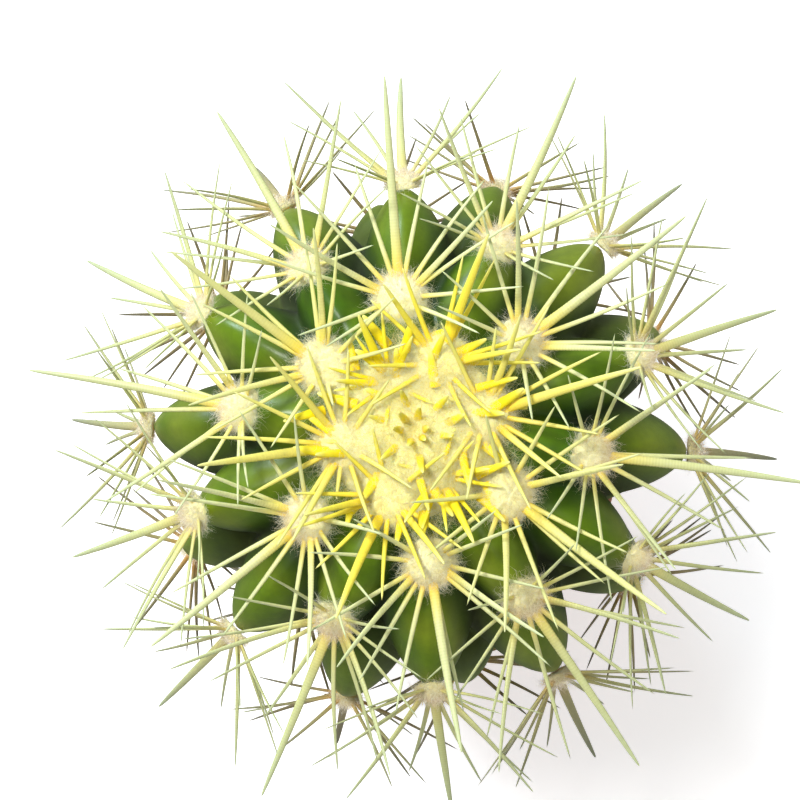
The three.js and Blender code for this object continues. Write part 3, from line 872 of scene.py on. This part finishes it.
def wool_piece(name, home, age, rng, material):
    """A felt pad: a lumpy core under a pile of hairs, with a few strays round its edge."""
    count = round(PAD_HAIRS - PAD_HAIRS_LOST * age)
    radius = home.radius
    height = radius * (PAD_HEIGHT if home.pair >= GROWN_PAD_PAIR else YOUNG_PAD_HEIGHT)
    core = wool_core(home, height, rng)
    lift = np.arccos(rng.uniform(-0.1, 1, count))
    turn = rng.uniform(0, 2 * np.pi, count)
    ball = np.stack([np.sin(lift) * np.cos(turn), np.sin(lift) * np.sin(turn), np.cos(lift)], 1)
    roots = ball * [radius * 0.88, radius * 0.88, height * 0.95]
    axes = unit(ball * [1, 1, 0.9] + 0.65 * rng.standard_normal((count, 3)))
    axes[:, 2] = np.abs(axes[:, 2]) * 0.9 + 0.05
    axes = unit(axes)
    lengths = rng.uniform(0.6, 1.4, count) * (0.5 + 0.16 * radius)
    strays = rng.uniform(0, 1, count) > 1 - STRAY_HAIRS
    lengths[strays] *= STRAY_LENGTH
    roots, axes = roots @ home.axes + home.origin, axes @ home.axes
    hair = fibres(roots, axes, lengths, PAD_HAIR_RADIUS, PAD_HAIR_CURL, rng)
    points, faces, uvs = joined([core, tubes(*hair, HAIR_SIDES)])
    hair_tint = np.repeat(rng.uniform(0, 1, count), HAIR_POINTS)
    core_tint = 0.2 + 0.5 * rng.uniform(0, 1, len(core[0]))
    values = {
        "tint": np.concatenate([core_tint, hair_tint]),
        # How far towards its lower, down-rib side each point of the pad lies; the wool is painted tan
        # there, partly weathering and partly painted shade.
        "outer": np.clip(0.5 + 0.6 * ((points - home.origin) @ home.down) / radius, 0, 1),
        "age": np.full(len(points), age),
    }
    return lets_light_through(new_piece(name, points, faces, uvs, values, material))


def crown_buds(crown, rng):
    """Young spines that stand half sunk in the crown's felt, all round the apex."""
    buds = []
    for index in range(CROWN_BUDS):
        turn = BUD_TURN * index + rng.uniform(-12, 12)
        spread = math.sqrt((index + 0.5) / CROWN_BUDS)
        tilt = BUD_TILTS[0] + (BUD_TILTS[1] - BUD_TILTS[0]) * spread
        outward = direction(turn, tilt)
        lean = direction(turn + rng.uniform(-60, 60), tilt + rng.uniform(30, 74))
        start = skin_point(outward)[0] + outward * rng.uniform(*BUD_HEIGHTS)
        buds.append(Spine(crown, start, lean * rng.uniform(*BUD_LENGTHS), rng.uniform(*BUD_WIDTHS)))
    return buds


def crown_felt_piece(rng, material):
    """The thick felt over the apex: a lumpy cap under a pile of hairs."""
    around, rings = CROWN_FELT_SIDES, CROWN_FELT_RINGS
    lump_turns = rng.uniform(0, 360, CROWN_LUMPS)
    lumps = direction(lump_turns, CROWN_FELT_TILT * np.sqrt(rng.uniform(0, 1, CROWN_LUMPS)))

    def felt_top(toward):
        share = np.degrees(np.arccos(np.clip(toward[:, 2], -1, 1))) / CROWN_FELT_TILT
        near = np.exp((toward @ lumps.T - 1) / CROWN_LUMP_SPREAD).max(axis=1)
        thick = CROWN_FELT_THICK * (1 - np.clip(share, 0, 1) ** 3) * (0.7 + 0.45 * near)
        return skin_point(toward) + toward * (thick - 0.2)[:, None]

    cap = felt_top(dome_directions(CROWN_FELT_TILT * np.arange(1, rings + 1) / rings, around))
    cap = np.append(cap, [[0, 0, cap[-around:, 2].min()]], axis=0)
    quads, top, foot = dome_faces(rings, around)
    flat_uv = 0.5 + cap[:, :2] / 30
    core = (cap, [quads, top, foot], [flat_uv[quads], flat_uv[top], flat_uv[foot] * 0.1])
    count = CROWN_HAIRS
    hair_turns = rng.uniform(0, 360, count)
    hair_tilts = (CROWN_FELT_TILT + 3) * np.sqrt(rng.uniform(0, 1, count))
    hair_toward = direction(hair_turns, hair_tilts)
    axes = unit(hair_toward + 0.6 * rng.standard_normal((count, 3)))
    axes[:, 2] = np.abs(axes[:, 2])
    lengths = rng.uniform(*CROWN_HAIR_LENGTHS, count)
    hair = fibres(felt_top(hair_toward), axes, lengths, CROWN_HAIR_RADIUS, CROWN_HAIR_CURL, rng)
    points, faces, uvs = joined([core, tubes(*hair, HAIR_SIDES)])
    core_tint = rng.uniform(0.45, 0.95, len(cap))
    hair_tint = np.repeat(rng.uniform(0.1, 1, count), HAIR_POINTS)
    hair_outer = np.repeat(rng.uniform(0, 0.9, count), HAIR_POINTS)
    values = {
        "tint": np.append(core_tint, hair_tint),
        "outer": np.append(np.full(len(cap), 0.2), hair_outer),
        "age": np.zeros(len(points)),
    }
    return lets_light_through(new_piece("crown_felt", points, faces, uvs, values, material))


# -------------------- pot and soil


def turned_piece(name, outline, segments, values, material):
    """A turned solid from [radius, height] points that start and end on the axis."""
    outline = np.array(outline, float)
    angle = 2 * np.pi * np.arange(segments) / segments
    rings = outline[1:-1]
    wall = np.stack(
        [
            np.outer(rings[:, 0], np.cos(angle)),
            np.outer(rings[:, 0], np.sin(angle)),
            np.repeat(rings[:, 1:], segments, axis=1),
        ],
        2,
    ).reshape(-1, 3)
    points = np.concatenate([[[0, 0, outline[0, 1]]], wall, [[0, 0, outline[-1, 1]]]])
    ring, side, beside = ring_grid(len(rings), segments)
    low, high = 1 + ring * segments, 1 + (ring + 1) * segments
    quads = np.stack([low + side, low + beside, high + beside, high + side], 1)
    travel = np.append(0, np.cumsum(np.linalg.norm(np.diff(outline, axis=0), axis=1)))
    travel = travel / travel[-1]
    quad_uv = np.stack(
        [
            np.stack([side, side + 1, side + 1, side], 1) / segments,
            np.stack([travel[ring + 1], travel[ring + 1], travel[ring + 2], travel[ring + 2]], 1),
        ],
        2,
    )
    one = np.arange(segments)
    two = (one + 1) % segments
    start = np.stack([np.zeros_like(one), 1 + two, 1 + one], 1)
    start_uv = fan_uv(segments, [0.5, 1, 0], 0, travel[1])
    last = 1 + (len(rings) - 1) * segments
    end = np.stack([last + one, last + two, np.full_like(one, len(points) - 1)], 1)
    end_uv = fan_uv(segments, [0, 1, 0.5], 1, travel[-2])
    spread = {key: np.full(len(points), value) for key, value in values.items()}
    return new_piece(name, points, [quads, start, end], [quad_uv, start_uv, end_uv], spread, material)


def rounded(outline, radius, steps=5):
    """The outline with each corner that isn't on the axis turned into a short arc."""
    points = [np.array(p, float) for p in outline]
    smooth = [points[0]]
    for before, corner, after in zip(points, points[1:], points[2:]):
        shorter = min(np.linalg.norm(before - corner), np.linalg.norm(after - corner))
        reach = min(radius, 0.45 * shorter)
        a, b = corner + unit(before - corner) * reach, corner + unit(after - corner) * reach
        for t in np.linspace(0, 1, steps):
            smooth.append((1 - t) ** 2 * a + 2 * t * (1 - t) * corner + t**2 * b)
    return smooth + [points[-1]]


def pot_piece(material):
    band = POT_HEIGHT - RIM_DEPTH
    mouth = RIM_RADIUS - WALL
    outline = [
        (0, 0),
        (BASE_RADIUS, 0),
        (RIM_RADIUS - RIM_STEP - RIM_UNDERCUT, band),
        (RIM_RADIUS, band),
        (RIM_RADIUS, POT_HEIGHT),
        (mouth, POT_HEIGHT),
        (mouth - INNER_DRAFT, FLOOR),
        (0, FLOOR),
    ]
    pot = turned_piece("clay_pot", rounded(outline, POT_EDGE), POT_SEGMENTS, {}, material)
    for i in range(DRAIN_COUNT):
        angle = 2 * math.pi * i / DRAIN_COUNT
        bpy.ops.mesh.primitive_cylinder_add(
            vertices=40,
            radius=DRAIN_RADIUS * MM,
            depth=4 * FLOOR * MM,
            location=(DRAIN_CIRCLE * MM * math.cos(angle), DRAIN_CIRCLE * MM * math.sin(angle), 0),
        )
        drill = bpy.context.object
        cut = pot.modifiers.new("drain", "BOOLEAN")
        cut.operation, cut.solver, cut.object = "DIFFERENCE", "EXACT", drill
        apply_modifiers(pot)
        bpy.data.objects.remove(drill)
    pot.data.set_sharp_from_angle(angle=math.radians(SHARP_EDGE))
    return pot


def apply_modifiers(piece):
    """Makes the piece's mesh what its modifiers show."""
    depsgraph = bpy.context.evaluated_depsgraph_get()
    shown = bpy.data.meshes.new_from_object(piece.evaluated_get(depsgraph), depsgraph=depsgraph)
    piece.modifiers.clear()
    piece.data = shown


def soil_piece(rng, material):
    """The soil: it fills the pot up to a rough surface and holds the plant's foot."""
    mouth = RIM_RADIUS - WALL
    bottom = BODY_CENTRE[2] - BODY_BOTTOM

    def hollow(height):
        return mouth - INNER_DRAFT * (1 - (height - FLOOR) / (POT_HEIGHT - 0.8 - FLOOR))

    def neck(height):
        return NECK_BOTTOM + (NECK_TOP - NECK_BOTTOM) * (height - bottom) / (POT_HEIGHT - bottom)

    foot = FLOOR + GAP
    outer, inner = hollow(SOIL_TOP) - 0.1, neck(SOIL_TOP) + 0.2
    top = []
    for t in np.linspace(0, 1, 9):
        top.append((outer + (inner - outer) * t, SOIL_TOP - 0.5 + 0.8 * math.sin(math.pi * t)))
    outline = [(0, foot), (hollow(foot) - GAP, foot), *top, (NECK_BOTTOM + GAP, bottom), (0, bottom)]
    soil = turned_piece("soil_bed", outline, SOIL_SEGMENTS, {"tint": 0.4}, material)
    mesh = soil.data
    points = np.zeros(len(mesh.vertices) * 3, np.float32)
    mesh.vertices.foreach_get("co", points)
    points = points.reshape(-1, 3)
    upper = points[:, 2] > (SOIL_TOP - 0.6) * MM
    points[upper, 2] += (SOIL_ROUGHNESS * rng.standard_normal(upper.sum()) * MM).astype(np.float32)
    mesh.vertices.foreach_set("co", points.ravel())
    mesh.update()
    return soil


def crumbs_piece(rng, material):
    """Loose crumbs, bark and grit on the soil between the plant's neck and the rim."""
    count, rings, sides = CRUMBS, 5, 6
    turn = rng.uniform(0, 2 * np.pi, count)
    across = rng.uniform(*CRUMB_RING, count)
    height = SOIL_TOP + rng.uniform(-0.2, 0.7, count)
    middle = np.stack([across * np.cos(turn), across * np.sin(turn), height], 1)
    s = np.linspace(0, 1, rings)
    axis = unit(rng.standard_normal((count, 3)))
    size = rng.uniform(*CRUMB_SIZES, count)
    wide, thin = perpendiculars(axis, unit(rng.standard_normal((count, 3))))
    swell = np.sin(np.pi * (0.12 + 0.82 * s))
    half = size[:, None] * 0.55 * swell * rng.uniform(0.7, 1.2, (count, rings))
    half = half[..., None]
    centres = middle[:, None] + axis[:, None] * ((s - 0.5) * 1.1)[None, :, None] * size[:, None, None]
    points, faces, uvs = tubes(centres, wide[:, None] * half, thin[:, None] * half, sides)
    tint = np.repeat(rng.uniform(0, 1, count), (rings - 1) * sides + 1)
    return new_piece("soil_crumbs", points, faces, uvs, {"tint": tint}, material)


# -------------------- studio


def floor_piece(material):
    """A plain pale floor, which the plant's gloss doesn't mirror."""
    bpy.ops.mesh.primitive_grid_add(x_subdivisions=20, y_subdivisions=20, size=4)
    floor = bpy.context.object
    floor.name = "floor"
    floor.visible_glossy = False
    floor.data.materials.append(material)
    return floor


def area_light(name, place, size, watts, colour):
    light = bpy.data.lights.new(name, "AREA")
    light.shape = "DISK"
    light.size, light.energy, light.color = size, watts, colour
    lamp = bpy.data.objects.new(name, light)
    lamp.location = place
    aim = Vector(LIT_POINT) - Vector(place)
    lamp.rotation_euler = aim.to_track_quat("-Z", "Y").to_euler()
    bpy.context.scene.collection.objects.link(lamp)


def studio():
    scene = bpy.context.scene
    world = bpy.data.worlds.new("studio")
    world.use_nodes = True
    tree = world.node_tree
    background = tree.nodes["Background"].inputs
    background["Color"].default_value = (1, 1, 1, 1)
    # A white backdrop behind the plant that gives it only a little light.
    paths = tree.nodes.new("ShaderNodeLightPath")
    strength = tree.nodes.new("ShaderNodeMapRange")
    strength.inputs["To Min"].default_value = WORLD_LIGHT
    strength.inputs["To Max"].default_value = 1.0
    tree.links.new(paths.outputs["Is Camera Ray"], strength.inputs["Value"])
    tree.links.new(strength.outputs[0], background["Strength"])
    scene.world = world
    scene.view_settings.view_transform = "Standard"
    for lamp in LIGHTS:
        area_light(*lamp)


def camera():
    """Almost straight above the plant, with +Y up in the picture."""
    azimuth, elevation = math.radians(CAMERA_AZIMUTH), math.radians(CAMERA_ELEVATION)
    level = math.cos(elevation)
    back = Vector((math.sin(azimuth) * level, -math.cos(azimuth) * level, math.sin(elevation)))
    right = Vector((0, 1, 0)).cross(back).normalized()
    up = back.cross(right)
    data = bpy.data.cameras.new("camera")
    data.sensor_width = SENSOR_WIDTH
    data.lens = SENSOR_WIDTH * CAMERA_DISTANCE / VIEW_WIDTH
    eye = bpy.data.objects.new("camera", data)
    place = Matrix.Translation(Vector(CAMERA_TARGET) + back * CAMERA_DISTANCE)
    eye.matrix_world = place @ Matrix((right, up, back)).transposed().to_4x4()
    bpy.context.scene.collection.objects.link(eye)
    bpy.context.scene.camera = eye


# -------------------- assembly


def put(piece, slot, *nodes):
    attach(piece, "root")
    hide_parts(*nodes)


camera()
studio()
floor_piece(floor_material())
rng = np.random.default_rng(SEED)
skin, spines, wool = skin_material(), spine_material(), wool_material()
crown, areoles = grown_plant()
put(body_piece(skin), "skin", "cactus_body")
put(spines_piece("crown_spines", crown.spines, 0.0, rng, spines), "spines", "crown")
put(spines_piece("crown_buds", crown_buds(crown, rng), 0.0, rng, spines), "spines", "crown")
put(crown_felt_piece(rng, wool), "wool", "crown")
for index, home in enumerate(areoles):
    node = f"areole_{index + 1:02d}"
    age = (home.pair - YOUNGEST_PAIR) / (OLDEST_PAIR - YOUNGEST_PAIR)
    put(spines_piece(node + "_spines", home.spines, age, rng, spines), "spines", node)
    put(wool_piece(node + "_wool", home, age, rng, wool), "wool", node)
soil_look = soil_material()
put(pot_piece(clay_material()), "clay", "pot")
put(soil_piece(rng, soil_look), "soil", "soil")
put(crumbs_piece(rng, soil_look), "soil", "soil")
